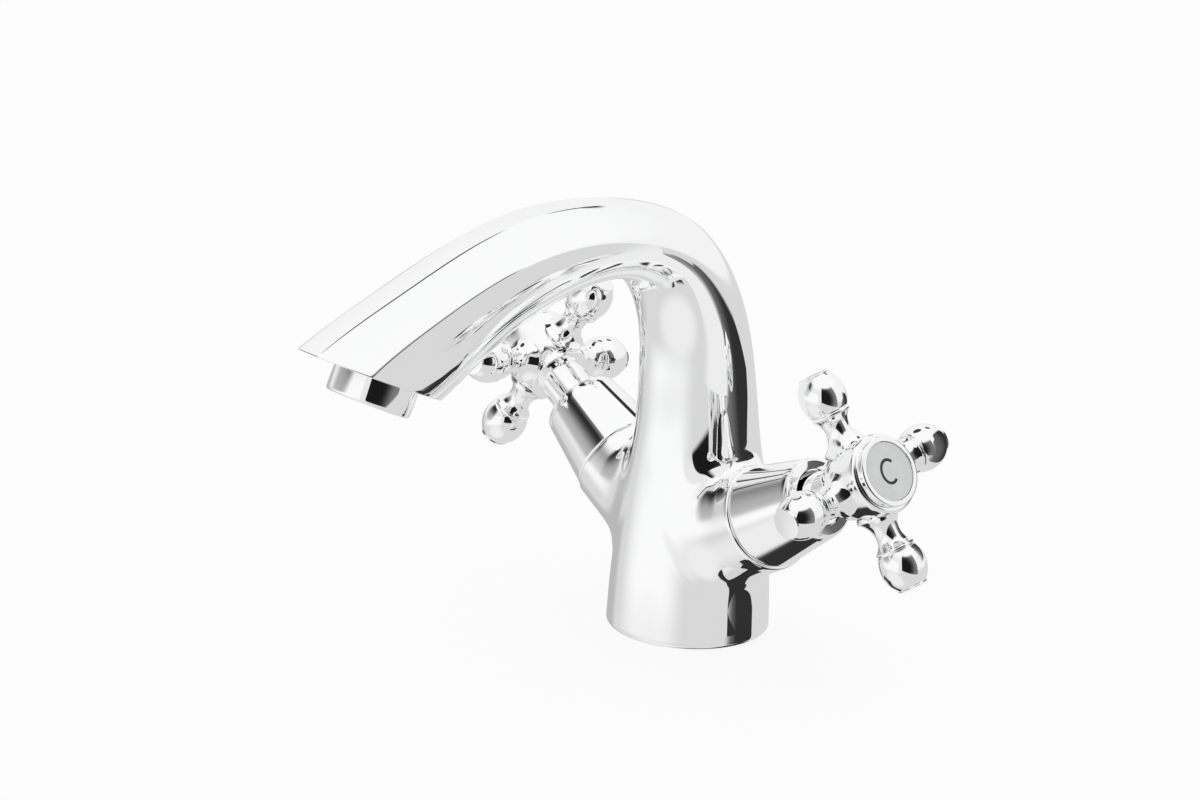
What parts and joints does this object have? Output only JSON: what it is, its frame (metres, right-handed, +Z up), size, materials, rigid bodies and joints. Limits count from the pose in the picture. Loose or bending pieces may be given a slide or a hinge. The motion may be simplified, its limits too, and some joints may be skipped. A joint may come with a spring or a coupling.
{
  "type": "basin mixer tap",
  "caption": "Deck-mounted chrome basin mixer with an arched swan-neck spout, two angled side valves and cross handles that turn between shut and open.",
  "frame": {"origin": "centre of the foot's flat underside, where it stands on the basin", "axes": "+Z up along the column, -Y towards the user along the spout, +X towards the cold handle"},
  "size_m": [0.184, 0.1815, 0.1401],
  "materials": {
    "chrome": "polished chrome plate",
    "brass": "machined",
    "steel": "fine machined stainless steel",
    "ceramic": "ground ceramic",
    "rubber": "smooth black rubber",
    "plastic": "moulded white plastic",
    "enamel": "pale grey enamel with a black mark"
  },
  "bodies": {
    "tap_body": {"body_casting": "chrome", "base_seal": "rubber", "cold_shroud": "chrome", "hot_shroud": "chrome", "cold_bonnet": "brass", "hot_bonnet": "brass", "cold_bonnet_seal": "rubber", "hot_bonnet_seal": "rubber", "cold_seat_washer": "rubber", "hot_seat_washer": "rubber", "cold_fixed_disc": "ceramic", "hot_fixed_disc": "ceramic", "aerator_housing": "chrome", "aerator_washer": "rubber", "aerator_insert": "plastic", "aerator_screen": "steel"},
    "cold_turn": {"cold_handle": "chrome", "cold_spindle": "brass", "cold_moving_disc": "ceramic", "cold_spindle_seals": "rubber", "cold_spindle_clip": "steel", "cold_handle_screw": "steel", "cold_index_ring": "chrome", "cold_index_plate": "enamel"},
    "hot_turn": {"hot_handle": "chrome", "hot_spindle": "brass", "hot_moving_disc": "ceramic", "hot_spindle_seals": "rubber", "hot_spindle_clip": "steel", "hot_handle_screw": "steel", "hot_index_ring": "chrome", "hot_index_plate": "enamel"}
  },
  "joints": [
    {"name": "cold_valve", "type": "hinge", "parent": "tap_body", "child": "cold_turn", "pos_m": [0, 0, 0.0245], "axis": [0.866, 0, 0.5], "range_deg": [0, 90]},
    {"name": "hot_valve", "type": "hinge", "parent": "tap_body", "child": "hot_turn", "pos_m": [0, 0, 0.0245], "axis": [-0.866, 0, 0.5], "range_deg": [0, 90]}
  ]
}
